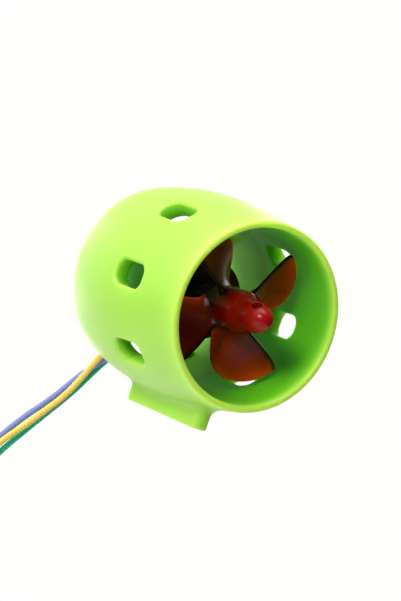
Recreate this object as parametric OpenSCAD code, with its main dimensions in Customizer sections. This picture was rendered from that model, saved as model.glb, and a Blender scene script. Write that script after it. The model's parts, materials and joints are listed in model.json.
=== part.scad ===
// Ducted underwater thruster with an outrunner motor.
// +X points along the shaft out of the exit, +Z is up and the keel is down.
// The origin is the middle of the keel's flat mounting face. All sizes are in millimetres.

/* [Nozzle] */
// Length of the nozzle along the shaft
nozzle_len = 69; // [60:0.5:90]
// Distance from the exit plane to the middle of the keel
exit_x = 33.5; // [30:0.5:40]
// Radius of the straight bore
bore_r = 30; // [27:0.1:34]
// Wall at the exit lip
exit_lip_t = 2.2; // [1.7:0.1:3]
// Wall at the inlet lip
inlet_lip_t = 1.9; // [1.7:0.1:3]
// Wall where the nozzle is widest
belly_t = 5.8; // [4.5:0.1:7.5]
// Distance from the exit plane to the widest place
belly_back = 39; // [34:0.5:44]
// Rounding of both lips
lip_round = 0.8; // [0.3:0.1:1]

/* [Vent slots] */
// Length of a slot along the shaft
slot_len = 15.4; // [10:0.1:18]
// Width of a slot across the shaft
slot_w = 8.6; // [6:0.1:11]
// Corner radius of a slot
slot_round = 3.6; // [2:0.1:4.4]
// Distance from the exit plane to the middle of the slots
slot_back = 28.8; // [26:0.1:30]

/* [Keel] */
// Height of the keel below the widest place
keel_h = 6; // [4.5:0.1:12]
// Length of the keel's mounting face
keel_len = 47; // [40:0.5:50]
// Thickness of the keel
keel_w = 6; // [5:0.5:8]
// Rounding of the keel's lower corners
keel_round = 1.6; // [0.5:0.1:2.5]
// Radius of the fillets between keel and nozzle
keel_fillet_r = 3; // [2:0.1:3.5]
// Radius of the pilot holes for thread-forming screws
pilot_r = 1.25; // [1:0.05:1.6]
// Depth of the pilot holes
pilot_depth = 9; // [6:0.5:9.5]
// Distance between the two pilot holes
pilot_gap = 32; // [20:1:36]

/* [Motor bracket] */
// Wall of the bracket's ring, which lies flush in a counterbore of the nozzle
ring_t = 1; // [0.8:0.1:1.2]
// Distance from the exit plane to the ring's front edge
ring_back = 41.6; // [40:0.1:44]
// Length of the ring along the shaft
ring_len = 24; // [20:0.5:25]
// Thickness of a vane
vane_t = 2.4; // [1.6:0.1:3.2]
// Length of a vane along the shaft
vane_len = 4; // [3:0.1:4.2]
// Thickness of the plate that the motor is screwed to
plate_t = 2.5; // [2:0.1:3.5]
// Clearance between the spinning can and the sleeve round it
sleeve_clear = 0.5; // [0.4:0.1:0.6]
// Wall of the sleeve round the can, which is pushed over the bracket's cup
sleeve_t = 1; // [0.9:0.1:1.2]
// Radius of the hole in the plate for the shaft end
plate_hole_r = 5.2; // [4.5:0.1:6]

/* [Motor] */
// Radius of the motor's can
can_r = 14; // [13.6:0.1:14.2]
// Distance from the exit plane to the front of the can
can_back = 33.5; // [32:0.5:35]
// Length of the steel can behind the end bell
can_len = 23.5; // [23.5:0.1:24]
// Thickness of the can's steel
can_t = 1.1; // [0.8:0.1:1.2]
// Thickness of the end bell's disc
bell_t = 2; // [1.6:0.1:2.5]
// Radius of the end bell's front boss
boss_r = 5.2; // [4.6:0.1:6]
// Length of the end bell's front boss
boss_len = 6; // [5:0.5:8]
// Radius of the holes in the end bell
bell_hole_r = 2.2; // [1.8:0.1:2.4]
// Thickness of a magnet
magnet_t = 1.5; // [1:0.1:1.5]
// Gap between magnets and stator
air_gap = 0.4; // [0.35:0.05:0.6]
// Length of the laminated stator
stator_len = 16; // [12:0.5:17]
// Wall of the stator inside its teeth
back_iron_t = 1.2; // [1:0.1:1.8]
// Thickness of the shoes at the ends of the teeth
shoe_t = 0.7; // [0.6:0.1:1]
// Gap between a coil and the iron at its ends
coil_gap = 0.2; // [0.1:0.05:0.4]
// Width of a stator tooth
tooth_w = 1.6; // [1.2:0.1:1.8]
// Thickness of a coil on each side of its tooth
coil_t = 0.85; // [0.5:0.05:0.9]
// Radius of the motor base's flange
base_r = 13; // [12.5:0.1:13.2]
// Clearance between motor base and bracket cup
base_clear = 0.1; // [0.05:0.05:0.2]
// Thickness of the motor base's flange
base_t = 3; // [2.5:0.1:3.5]
// Radius of the circle of the motor's screws
screw_circle_r = 9.5; // [9.4:0.1:9.8]
// Radius of the motor screws
screw_r = 1.45; // [1.2:0.05:1.5]
// Radius of a motor screw's head
screw_head_r = 2.7; // [2.2:0.1:2.8]
// Height of a motor screw's head
screw_head_h = 1.6; // [1.2:0.1:2]

/* [Shaft and bearings] */
// Radius of the shaft
shaft_r = 2; // [1.8:0.05:2.1]
// How far the shaft stands out of the exit plane
shaft_out = 2.6; // [2.3:0.1:3]
// Outer radius of the ball bearings
bearing_r = 4.5; // [4.4:0.05:4.6]
// Width of the ball bearings
bearing_w = 4; // [3.6:0.1:4.2]
// Wall of the bearing tube
tube_t = 1; // [0.8:0.1:1.2]
// Radius of a bearing ball
ball_r = 0.8; // [0.7:0.02:0.84]
// Clearance between a ball and its races
ball_clear = 0.03; // [0.01:0.01:0.06]
// Thickness of the washer between end bell and front bearing
washer_t = 0.5; // [0.4:0.1:0.8]
// Thickness of the clip behind the rear bearing
clip_t = 0.5; // [0.4:0.1:0.6]

/* [Propeller] */
// Clearance between the blade tips and the bore
tip_clear = 1.9; // [1.5:0.1:5]
// Pitch of the blades for one turn
prop_pitch = 63.5; // [45:0.5:75]
// Distance from the exit plane to the blades' reference plane
prop_back = 20.5; // [18:0.1:22]
// Turn of the first blade from the +Y side towards +Z
prop_turn = 24; // [0:0.5:89]
// Forward lean of a blade as a share of its length
blade_rake = -0.01; // [-0.03:0.005:0.1]
// Blade thickness at the hub
blade_root_t = 2.4; // [1.6:0.1:2.8]
// Blade thickness at the tip
blade_tip_t = 1.4; // [1:0.1:1.6]
// Blade thickness along its edges
blade_edge_t = 0.9; // [0.5:0.05:1]
// Radius of the hub at its back
hub_r = 7.2; // [6:0.1:7.6]
// Radius of the hub where its nose begins
nose_r = 5.4; // [5:0.1:5.8]
// Distance from the exit plane to the hub's back
hub_back = 26; // [24:0.5:27]
// Distance from the exit plane to where the hub starts to narrow
shoulder_back = 9.3; // [8.5:0.1:12]
// Distance from the exit plane to where the nose begins
nose_start = 2.5; // [2:0.1:4]
// How far the nose stands out of the exit
nose_out = 6.5; // [4:0.5:8]
// Radius of the set screw in the nose
set_screw_r = 1.5; // [1.2:0.1:1.7]
// Length of the set screw in the nose
set_screw_len = 1.6; // [1.5:0.1:2.2]
// Distance from the exit plane out to the set screw
set_screw_out = 0.9; // [0.5:0.1:1.2]
// Radius of the mouth of the set screw's hole in the nose
set_hole_r = 1.8; // [1.5:0.1:2]
// Turn of the set screw from the +Y side towards +Z
set_screw_turn = 126; // [0:1:359]

/* [Leads] */
// Outer radius of a lead
lead_r = 1.1; // [0.9:0.05:1.1]
// Outer radius of the shrink sleeve on a lead's end
sleeve_r = 2.2; // [2:0.1:2.3]
// Radius of the plug pin on a lead's end
pin_r = 1.75; // [1.5:0.05:1.8]
// Length of the plug pin beyond its sleeve
pin_len = 10; // [8:0.5:12]

/* [Hidden] */
$fn = 96;

exit_lip_r = bore_r + exit_lip_t;
inlet_lip_r = bore_r + inlet_lip_t;
belly_r = bore_r + belly_t;
axis_h = belly_r + keel_h;
cut_over = 2;
inlet_x = exit_x - nozzle_len;
belly_x = exit_x - belly_back;
slot_x = exit_x - slot_back;
ring_front = exit_x - ring_back;
ring_rear = ring_front - ring_len;
ring_out_r = bore_r + ring_t;
sleeve_in_r = can_r + sleeve_clear;
sleeve_out_r = sleeve_in_r + sleeve_t;
prop_r = bore_r - tip_clear;
can_front = exit_x - can_back;
bell_back = can_front - bell_t;
can_rear = bell_back - can_len;
base_front = can_rear - 1.5;
base_rear = base_front - base_t;
plate_rear = base_rear - plate_t;
cup_front = base_front + 0.4;
sleeve_rear = plate_rear + vane_len + 0.4;
boss_front = can_front + boss_len;
magnet_r = can_r - can_t;
spigot_t = 1;
spigot_len = 0.8;
bell_hole_at = (boss_r + magnet_r - spigot_t) / 2;
stator_r = magnet_r - magnet_t - air_gap;
tube_r = bearing_r + tube_t;
back_iron_r = tube_r + back_iron_t;
front_face = bell_back - washer_t;
front_mid = front_face - bearing_w / 2;
rear_face = base_rear + 0.5;
rear_mid = rear_face + bearing_w / 2;
stator_front = front_face - 3;
stator_rear = stator_front - stator_len;
race_r = (shaft_r + bearing_r) / 2;
race_gap = 0.5;
hub_x = exit_x - hub_back;
hub_edge = 0.45;
nose_x = exit_x + nose_out;
nose_back = exit_x - nose_start;
shoulder_x = exit_x - shoulder_back;
prop_x = exit_x - prop_back;
set_screw_x = exit_x + set_screw_out;
shaft_front = exit_x + shaft_out;
shaft_rear = rear_face - 2;
boss_screw_x = can_front + 3;
pilot_low = -1;
grommet_z = axis_h - 9.2;
grommet_x = plate_rear + 0.7;
grommet_rear = grommet_x - 1.8;
lead_end = -112;

// Centre lines of the leads from the grommet to their plugs
route_blue = [
    [-31.8, 0, 32.6], [-34.4, 0, 32.6], [-37.2, 0.2, 30.9], [-39.5, 0.8, 26.3],
    [-40.9, 1.3, 21.4], [-42, 1.2, 16.9], [-43.9, 0, 12.4], [-47.5, -2, 8],
    [-50.9, -4.2, 3.2], [-53.7, -6.7, -2.3], [-56.1, -9.3, -7.9], [-58.4, -12.2, -13.1],
    [-60.6, -15.2, -18], [-62.7, -18.1, -23.2], [-64.7, -20.8, -28.7], [-66.4, -23.3, -34.3],
    [-67.8, -25.6, -40.1], [-68.7, -27.6, -46.2], [-69.4, -29, -52.5], [-69.8, -30.2, -58.8],
    [-70.1, -31.2, -66], [-70.2, -31.9, -74], [-70.2, -32.5, -83], [-70.3, -33, -93],
    [-70.3, -33.4, -103.3], [-70.3, -33.4, -112]
];
route_yellow = [
    [-31.8, -2.6, 32.6], [-34.4, -2.6, 32.6], [-37.2, -2.4, 30.9], [-39.6, -1.9, 26.3],
    [-41.2, -1.6, 21.6], [-42.2, -2.1, 17.8], [-43.3, -3, 14.1], [-45.9, -4.5, 8.4],
    [-48.2, -6, 2.1], [-50.3, -7.8, -4], [-52.5, -10, -9.5], [-54.9, -12.7, -14.7],
    [-57.1, -15.5, -19.9], [-59.4, -18.4, -24.8], [-61.4, -21.3, -29.7], [-63, -23.8, -35.1],
    [-64, -26.1, -41.1], [-64.8, -27.8, -47.3], [-65, -29.2, -53.7], [-65.2, -30.1, -60.2],
    [-65.2, -30.9, -67], [-65.2, -31.5, -75], [-65.2, -32.1, -84], [-65.1, -32.6, -94],
    [-65, -33, -104.5], [-65, -33, -112]
];
route_green = [
    [-31.8, 2.6, 32.6], [-34.4, 2.6, 32.6], [-37.4, 2.8, 30.9], [-39.9, 3.4, 26.5],
    [-41.7, 3.7, 21.8], [-43.7, 3.4, 17.1], [-46.4, 2.4, 13.1], [-49.3, 0.7, 8.2],
    [-51.2, -1.8, 2.5], [-52.7, -4.4, -3.4], [-54.4, -7.1, -8.9], [-56.6, -9.8, -14.4],
    [-58.8, -12.5, -19.9], [-60.8, -15.2, -25.3], [-62.6, -17.9, -30.6], [-64.2, -20.4, -36.1],
    [-65.5, -22.6, -42.1], [-66.3, -24.2, -48.4], [-66.8, -25.2, -54.7], [-67, -25.9, -61.1],
    [-67.2, -26.4, -68], [-67.4, -26.8, -76], [-67.5, -27.1, -85], [-67.6, -27.5, -95],
    [-67.6, -27.8, -105], [-67.6, -27.8, -112]
];

// Blade outline: share of the tip radius, then the leading and trailing edge in degrees
blade_lead = [[0.15, -26.7], [0.24, -24.3], [0.33, -21.2], [0.44, -19.4], [0.55, -17.9], [0.66, -15.6],
    [0.74, -12.6], [0.82, -8], [0.88, -3.2], [0.93, 3], [0.966, 10], [0.988, 16.8], [1, 23.5]];
blade_trail = [[0.15, 28.2], [0.24, 30.1], [0.33, 32.1], [0.44, 34], [0.55, 35.3], [0.66, 35.8],
    [0.74, 36], [0.82, 35.9], [0.88, 35.7], [0.93, 35.2], [0.966, 34.5], [0.988, 33.3], [1, 30.8]];
blade_steps = [0.15, 0.24, 0.33, 0.44, 0.55, 0.66, 0.74, 0.82, 0.88, 0.93, 0.966, 0.988, 1];
chord_n = 8;

// Outer radius of the nozzle at a distance behind the exit plane
function belly(s) = s <= belly_back
    ? belly_r - (belly_r - exit_lip_r) * pow((belly_back - s) / belly_back, 2)
    : inlet_lip_r + (belly_r - inlet_lip_r)
        * pow(1 - pow((s - belly_back) / (nozzle_len - belly_back), 1.5), 1 / 1.5);
function unit(v) = v / norm(v);

// Two triangles for each side of a tube made of m rings of n points
function tube_sides(m, n) = [for (i = [0:m - 2], k = [0:n - 1], h = [0, 1])
    h == 0 ? [i * n + k, (i + 1) * n + k, (i + 1) * n + (k + 1) % n]
           : [i * n + k, (i + 1) * n + (k + 1) % n, i * n + (k + 1) % n]];

// Point of a blade: share of the radius, share of the chord, side of the blade
function blade_th(f, t) = let (full = blade_root_t + (blade_tip_t - blade_root_t) * f)
    blade_edge_t + (full - blade_edge_t) * 4 * t * (1 - t);
function blade_point(f, t, side) = let (
    r = f * prop_r,
    a0 = lookup(f, blade_lead),
    a = a0 + (lookup(f, blade_trail) - a0) * t,
    slope = atan(prop_pitch / (360 * r) * 180 / PI),
    o = side * blade_th(f, t) / 2,
    turn = a - o * sin(slope) / r * 180 / PI,
    x = prop_pitch * a / 360 + blade_rake * (r - hub_r) + o * cos(slope)
) [x, r * cos(turn), r * sin(turn)];
function chord_share(j) = (1 - cos(180 * j / chord_n)) / 2;

// Moves a piece to the shaft axis; children are built round X with x as given
module on_axis() {
    translate([0, 0, axis_h])
    children();
}

// Turns a revolved outline of [radius, x] points to lie along X
module lathe() {
    rotate([0, 90, 0])
    rotate_extrude()
    children();
}

module tube_x(x_low, x_high, r_in, r_out) {
    lathe()
    translate([r_in, x_low])
    square([r_out - r_in, x_high - x_low]);
}

module rod_x(x_low, x_high, r) {
    translate([x_low, 0, 0])
    rotate([0, 90, 0])
    cylinder(r = r, h = x_high - x_low);
}

module round_box(lx, ly, r) {
    square([lx - 2 * r, ly], center = true);
    square([lx, ly - 2 * r], center = true);
    for (sx = [-1, 1], sy = [-1, 1])
        translate([sx * (lx / 2 - r), sy * (ly / 2 - r)])
        circle(r);
}

module nozzle_shell() {
    steps = [0, 2, 5, 9, 13, 17, 21, 25, 29, 33, 36, 39, 42, 45, 48, 51, 54, 57, 60, 62.5, 65, 66.8, 68];
    outline = concat(
        [[bore_r, exit_x - lip_round], [bore_r + lip_round * 0.5, exit_x - lip_round * 0.15],
            [bore_r + lip_round, exit_x], [exit_lip_r - lip_round * 0.8, exit_x]],
        [for (s = steps) if (s > lip_round && s < nozzle_len - lip_round) [belly(s), exit_x - s]],
        [[inlet_lip_r - lip_round * 0.3, inlet_x + lip_round * 0.2], [inlet_lip_r - lip_round * 0.8, inlet_x],
            [bore_r + lip_round, inlet_x], [bore_r + lip_round * 0.5, inlet_x + lip_round * 0.15],
            [bore_r, inlet_x + lip_round]]);
    on_axis()
    lathe()
    polygon(outline);
}

// One fillet strip on each side of the keel between two points of the nozzle's underside
module keel_strip(x_low, x_high) {
    z_low = axis_h - belly(exit_x - x_low);
    z_high = axis_h - belly(exit_x - x_high);
    run = norm([x_high - x_low, z_high - z_low]);
    translate([x_low, 0, z_low])
    rotate([0, -atan((z_high - z_low) / (x_high - x_low)), 0])
    rotate([90, 0, 90])
    linear_extrude(run)
    for (m = [0, 1])
        mirror([m, 0])
        difference() {
            translate([keel_w / 2 - 0.5, 0.6 - keel_fillet_r])
            square([keel_fillet_r + 0.2, keel_fillet_r + 0.9]);
            translate([keel_w / 2 + keel_fillet_r, 0.6 - keel_fillet_r])
            circle(keel_fillet_r);
        }
}

module keel() {
    top = axis_h - bore_r - 1.2;
    front_z = axis_h - belly(exit_x - keel_len / 2 - keel_fillet_r) - keel_fillet_r + 0.5;
    rear_z = axis_h - belly(exit_x + keel_len / 2 + keel_fillet_r) - keel_fillet_r + 0.5;
    rotate([90, 0, 0])
    linear_extrude(keel_w, center = true)
    union() {
        translate([0, top / 2])
        difference() {
            square([keel_len, top], center = true);
            for (m = [0, 1])
                mirror([m, 0])
                translate([keel_len / 2 - keel_round, -top / 2])
                difference() {
                    square([keel_round, keel_round]);
                    translate([0, keel_round])
                    circle(keel_round);
                }
        }
        difference() {
            translate([keel_len / 2 - 1, front_z])
            square([keel_fillet_r + 0.8, keel_fillet_r + 0.8]);
            translate([keel_len / 2 + keel_fillet_r, front_z])
            circle(keel_fillet_r);
        }
        difference() {
            translate([-keel_len / 2 - keel_fillet_r + 0.2, rear_z])
            square([keel_fillet_r + 0.8, keel_fillet_r + 0.8]);
            translate([-keel_len / 2 - keel_fillet_r, rear_z])
            circle(keel_fillet_r);
        }
    }
    keel_strip(-keel_len / 2 + 1.5, belly_x + 3);
    keel_strip(belly_x + 2, keel_len / 2 - 1.5);
}

module nozzle() {
    color([0.55, 0.86, 0.2])
    difference() {
        union() {
            nozzle_shell();
            keel();
        }
        on_axis()
        rod_x(inlet_x - cut_over, ring_front, ring_out_r);
        for (a = [0, 45, 90, 135, 225, 270, 315])
            translate([slot_x, 0, axis_h])
            rotate([a, 0, 0])
            translate([0, 0, bore_r - cut_over])
            linear_extrude(belly_t + 2 * cut_over)
            round_box(slot_len, slot_w, slot_round);
        for (sx = [-1, 1])
            translate([sx * pilot_gap / 2, 0, pilot_low])
            cylinder(r = pilot_r, h = pilot_depth - pilot_low);
    }
}

module motor_bracket() {
    color([0.5, 0.8, 0.2])
    on_axis()
    difference() {
        union() {
            tube_x(ring_rear, ring_front, bore_r, ring_out_r);
            tube_x(base_rear, cup_front, base_r + base_clear, sleeve_in_r);
            tube_x(plate_rear, base_rear, plate_hole_r, sleeve_in_r);
            for (a = [45, 135, 225, 315])
                rotate([a, 0, 0])
                rotate([90, 0, 0])
                linear_extrude(vane_t, center = true)
                polygon([[plate_rear, sleeve_in_r - 0.6], [plate_rear + vane_len, sleeve_in_r - 0.6],
                    [ring_rear + vane_len, bore_r + 0.4], [ring_rear + 0.5, bore_r + 0.4]]);
        }
        for (a = [45, 135, 225, 315])
            rotate([a, 0, 0])
            translate([0, 0, screw_circle_r])
            rod_x(plate_rear - 1, base_rear + 1, screw_r + 0.15);
        translate([plate_rear - 1, 0, grommet_z - axis_h])
        rotate([90, 0, 90])
        linear_extrude(plate_t + 2)
        round_box(8.8, 3.4, 1.69);
    }
}

module motor_sleeve() {
    color([0.5, 0.8, 0.2])
    on_axis()
    tube_x(sleeve_rear, ring_front, sleeve_in_r, sleeve_out_r);
}

module motor_base() {
    color([0.12, 0.12, 0.13])
    on_axis()
    difference() {
        union() {
            rod_x(base_rear, base_front, base_r);
            rod_x(base_rear, front_face, tube_r);
        }
        rod_x(base_rear - 1, rear_face + bearing_w, bearing_r);
        rod_x(front_face - bearing_w, front_face + 1, bearing_r);
        rod_x(base_rear, front_face, bearing_r - 0.8);
        for (a = [45, 135, 225, 315])
            rotate([a, 0, 0])
            translate([0, 0, screw_circle_r])
            rod_x(base_rear - 1, base_front + 1, screw_r);
    }
}

module motor_screw(a) {
    color([0.75, 0.76, 0.78])
    on_axis()
    rotate([a, 0, 0])
    translate([0, 0, screw_circle_r])
    difference() {
        union() {
            rod_x(plate_rear - screw_head_h, plate_rear, screw_head_r);
            rod_x(plate_rear - 0.2, base_front - 0.4, screw_r);
        }
        translate([plate_rear - screw_head_h - 0.5, 0, 0])
        rotate([0, 90, 0])
        cylinder(r = screw_r * 0.8, h = 1.4, $fn = 6);
    }
}

module motor_screw_1() {
    motor_screw(45);
}

module motor_screw_2() {
    motor_screw(135);
}

module motor_screw_3() {
    motor_screw(225);
}

module motor_screw_4() {
    motor_screw(315);
}

module stator_core() {
    color([0.35, 0.36, 0.4])
    on_axis()
    translate([stator_rear, 0, 0])
    rotate([90, 0, 90])
    linear_extrude(stator_len)
    difference() {
        union() {
            circle(back_iron_r);
            for (i = [0:11])
                rotate(i * 30)
                translate([back_iron_r - 0.3, -tooth_w / 2])
                square([stator_r - shoe_t / 2 - back_iron_r + 0.3, tooth_w]);
            for (i = [0:11])
                rotate(i * 30)
                intersection() {
                    difference() {
                        circle(stator_r);
                        circle(stator_r - shoe_t);
                    }
                    polygon([[0, 0], [stator_r * 2, -stator_r * 0.42], [stator_r * 2, stator_r * 0.42]]);
                }
        }
        circle(tube_r);
    }
}

module stator_coils() {
    color([0.72, 0.4, 0.18])
    on_axis()
    for (i = [0:11])
        rotate([i * 30, 0, 0])
        difference() {
            translate([stator_rear - 1.2, back_iron_r + coil_gap, -tooth_w / 2 - coil_t])
            cube([stator_len + 2.4, stator_r - shoe_t - back_iron_r - 2 * coil_gap, tooth_w + 2 * coil_t]);
            translate([stator_rear, back_iron_r - 0.3, -tooth_w / 2])
            cube([stator_len, stator_r, tooth_w]);
        }
}

// A bearing ring with its groove; low and high are its inner and outer radius
module race(x_mid, low, high) {
    color([0.78, 0.79, 0.8])
    on_axis()
    lathe()
    difference() {
        translate([low, x_mid - bearing_w / 2])
        square([high - low, bearing_w]);
        translate([race_r, x_mid])
        circle(ball_r + ball_clear);
    }
}

module bearing_front_outer() {
    race(front_mid, race_r + race_gap, bearing_r);
}

module bearing_rear_outer() {
    race(rear_mid, race_r + race_gap, bearing_r);
}

module bearing_front_inner() {
    race(front_mid, shaft_r, race_r - race_gap);
}

module bearing_rear_inner() {
    race(rear_mid, shaft_r, race_r - race_gap);
}

// Eight balls held by a ring cage on the side that faces into the motor
module ball_train(x_mid, side) {
    color([0.85, 0.85, 0.86])
    on_axis() {
        for (i = [0:7])
            rotate([i * 45, 0, 0])
            translate([x_mid, 0, race_r])
            rotate([0, 0, side > 0 ? 180 : 0])
            sphere(ball_r, $fn = 32);
        tube_x(x_mid + side * 0.9 - 0.25, x_mid + side * 0.9 + 0.25, race_r - 0.16, race_r + 0.16);
    }
}

module bearing_front_balls() {
    ball_train(front_mid, -1);
}

module bearing_rear_balls() {
    ball_train(rear_mid, 1);
}

module lead_grommet() {
    color([0.1, 0.1, 0.1])
    difference() {
        translate([grommet_rear, 0, grommet_z])
        rotate([90, 0, 90])
        linear_extrude(base_rear - grommet_rear)
        round_box(8.8, 3.4, 1.69);
        for (y = [-2.6, 0, 2.6])
            translate([grommet_rear - 1, y, grommet_z])
            rotate([0, 90, 0])
            cylinder(r = lead_r, h = grommet_x - grommet_rear + 1);
    }
}

// A round lead swept along its route
module lead(route) {
    m = len(route);
    ring = [for (i = [0:m - 1])
        let (t = i == 0 ? [-1, 0, 0]
                : i == m - 1 ? [0, 0, -1]
                : unit(route[i + 1] - route[i - 1]),
            u = unit(cross(t, [1, -1, 0])),
            v = cross(t, u))
        for (k = [0:7]) route[i] + lead_r * (cos(45 * k) * u + sin(45 * k) * v)];
    polyhedron(ring, concat([[for (k = [0:7]) k]], [[for (k = [7:-1:0]) (m - 1) * 8 + k]],
        tube_sides(m, 8)), convexity = 6);
}

module lead_blue() {
    color([0.25, 0.42, 0.8])
    lead(route_blue);
}

module lead_yellow() {
    color([0.9, 0.68, 0.12])
    lead(route_yellow);
}

module lead_green() {
    color([0.05, 0.48, 0.33])
    lead(route_green);
}

// The end of a route, with z at the lead's cut end
module at_end(route) {
    translate([route[len(route) - 1][0], route[len(route) - 1][1], lead_end])
    children();
}

module sleeve(route) {
    at_end(route)
    rotate_extrude()
    polygon([[lead_r, 5], [lead_r + 0.35, 5], [sleeve_r, 1.5], [sleeve_r, -5], [pin_r + 0.1, -5],
        [pin_r + 0.1, 0], [lead_r, 0]]);
}

module sleeve_blue() {
    color([0.1, 0.1, 0.11])
    sleeve(route_blue);
}

module sleeve_yellow() {
    color([0.1, 0.1, 0.11])
    sleeve(route_yellow);
}

module sleeve_green() {
    color([0.1, 0.1, 0.11])
    sleeve(route_green);
}

module pin(route) {
    at_end(route)
    rotate_extrude()
    polygon([[0, 0], [pin_r + 0.1, 0], [pin_r + 0.1, -5.6], [pin_r - 0.25, -6], [pin_r, -6 - pin_len * 0.4],
        [pin_r - 0.2, -4 - pin_len * 0.9], [pin_r - 0.7, -5 - pin_len], [0, -5 - pin_len]]);
}

module pin_blue() {
    color([0.83, 0.66, 0.28])
    pin(route_blue);
}

module pin_yellow() {
    color([0.83, 0.66, 0.28])
    pin(route_yellow);
}

module pin_green() {
    color([0.83, 0.66, 0.28])
    pin(route_green);
}

module rotor_bell() {
    color([0.07, 0.07, 0.08])
    on_axis()
    difference() {
        union() {
            rod_x(bell_back, can_front, can_r);
            rod_x(can_front - 0.5, boss_front, boss_r);
            tube_x(bell_back - spigot_len, bell_back + 0.5, magnet_r - spigot_t, magnet_r);
        }
        rod_x(bell_back - 1, boss_front + 1, shaft_r);
        for (a = [0:60:300])
            rotate([a, 0, 0])
            translate([0, 0, bell_hole_at])
            rod_x(bell_back - 1, can_front + 1, bell_hole_r);
        for (a = [0, 90])
            rotate([a, 0, 0])
            translate([boss_screw_x, 0, 0])
            cylinder(r = set_screw_r, h = boss_r + 1);
    }
}

module flux_ring() {
    color([0.1, 0.1, 0.11])
    on_axis()
    tube_x(can_rear, bell_back, magnet_r, can_r);
}

module magnets() {
    color([0.6, 0.61, 0.63])
    on_axis()
    translate([stator_rear - 0.5, 0, 0])
    rotate([90, 0, 90])
    linear_extrude(stator_len + 1)
    for (i = [0:13])
        rotate(i * 360 / 14)
        intersection() {
            difference() {
                circle(magnet_r);
                circle(magnet_r - magnet_t);
            }
            polygon([[0, 0], [can_r * 2, -can_r * 0.39], [can_r * 2, can_r * 0.39]]);
        }
}

module shaft() {
    color([0.8, 0.81, 0.82])
    on_axis()
    difference() {
        rod_x(shaft_rear, shaft_front, shaft_r);
        tube_x(rear_face - clip_t, rear_face, shaft_r - 0.4, shaft_r + 1);
    }
}

module shaft_clip() {
    color([0.3, 0.3, 0.32])
    on_axis()
    difference() {
        tube_x(rear_face - clip_t, rear_face, shaft_r - 0.4, shaft_r + 1.2);
        translate([rear_face - 2, 0, -shaft_r - 2])
        linear_extrude(shaft_r + 2)
        translate([0, -shaft_r * 0.6])
        square([3, shaft_r * 1.2]);
    }
}

module thrust_washer() {
    color([0.9, 0.88, 0.8])
    on_axis()
    tube_x(front_face, bell_back, shaft_r, shaft_r + 0.75);
}

// A grub screw with its hex socket; its tip meets the shaft
module grub(length) {
    difference() {
        translate([0, 0, shaft_r])
        cylinder(r = set_screw_r, h = length);
        translate([0, 0, shaft_r + length - 1.2])
        cylinder(r = set_screw_r * 0.58, h = 2, $fn = 6);
    }
}

module bell_screw_1() {
    color([0.2, 0.2, 0.22])
    on_axis()
    translate([boss_screw_x, 0, 0])
    grub(boss_r - shaft_r - 0.4);
}

module bell_screw_2() {
    color([0.2, 0.2, 0.22])
    on_axis()
    rotate([90, 0, 0])
    translate([boss_screw_x, 0, 0])
    grub(boss_r - shaft_r - 0.4);
}

// One blade: rings of points from inside the hub out to the tip
module blade() {
    m = len(blade_steps);
    n = 2 * (chord_n + 1);
    ring = [for (f = blade_steps, k = [0:n - 1])
        k <= chord_n ? blade_point(f, chord_share(k), -1) : blade_point(f, chord_share(n - 1 - k), 1)];
    low = [for (j = [0:chord_n - 1], h = [0, 1])
        h == 0 ? [j, j + 1, n - 2 - j] : [j, n - 2 - j, n - 1 - j]];
    last = (m - 1) * n;
    high = [for (q = low) [last + q[2], last + q[1], last + q[0]]];
    polyhedron(ring, concat(low, high, tube_sides(m, n)), convexity = 6);
}

module propeller() {
    color([0.42, 0.07, 0.03])
    on_axis()
    difference() {
        union() {
            lathe()
            polygon(concat(
                [[0, hub_x], [hub_r - hub_edge, hub_x], [hub_r, hub_x + hub_edge], [hub_r, shoulder_x]],
                [for (t = [0.2:0.2:0.8]) [hub_r - (hub_r - nose_r) * t * t * (3 - 2 * t),
                    shoulder_x + (nose_back - shoulder_x) * t]],
                [for (a = [4:8:84]) [nose_r * cos(a), nose_back + (nose_x - nose_back) * sin(a)]],
                [[0, nose_x]]));
            for (a = [0, 90, 180, 270])
                translate([prop_x, 0, 0])
                rotate([prop_turn + a, 0, 0])
                blade();
        }
        rod_x(hub_x - 1, shaft_front, shaft_r);
        rotate([set_screw_turn - 90, 0, 0])
        translate([set_screw_x, 0, 0])
        cylinder(r = set_screw_r, h = hub_r);
        rotate([set_screw_turn - 90, 0, 0])
        translate([set_screw_x, 0, shaft_r + set_screw_len])
        cylinder(r = set_hole_r, h = hub_r);
    }
}

module prop_screw() {
    color([0.2, 0.2, 0.22])
    on_axis()
    rotate([set_screw_turn - 90, 0, 0])
    translate([set_screw_x, 0, 0])
    grub(set_screw_len);
}

nozzle();
motor_bracket();
motor_sleeve();
motor_base();
motor_screw_1();
motor_screw_2();
motor_screw_3();
motor_screw_4();
stator_core();
stator_coils();
bearing_front_outer();
bearing_rear_outer();
lead_grommet();
lead_blue();
lead_yellow();
lead_green();
sleeve_blue();
sleeve_yellow();
sleeve_green();
pin_blue();
pin_yellow();
pin_green();
bearing_front_balls();
bearing_rear_balls();
rotor_bell();
flux_ring();
magnets();
shaft();
bearing_front_inner();
bearing_rear_inner();
shaft_clip();
thrust_washer();
bell_screw_1();
bell_screw_2();
propeller();
prop_screw();
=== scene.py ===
"""Looks of a ducted underwater thruster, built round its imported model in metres.

+X points along the shaft out of the exit, +Z is up, and the keel's mounting face is at z = 0.
"""

import json
import math

import bmesh
import bpy
import numpy as np
from mathutils import Matrix, Vector


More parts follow.
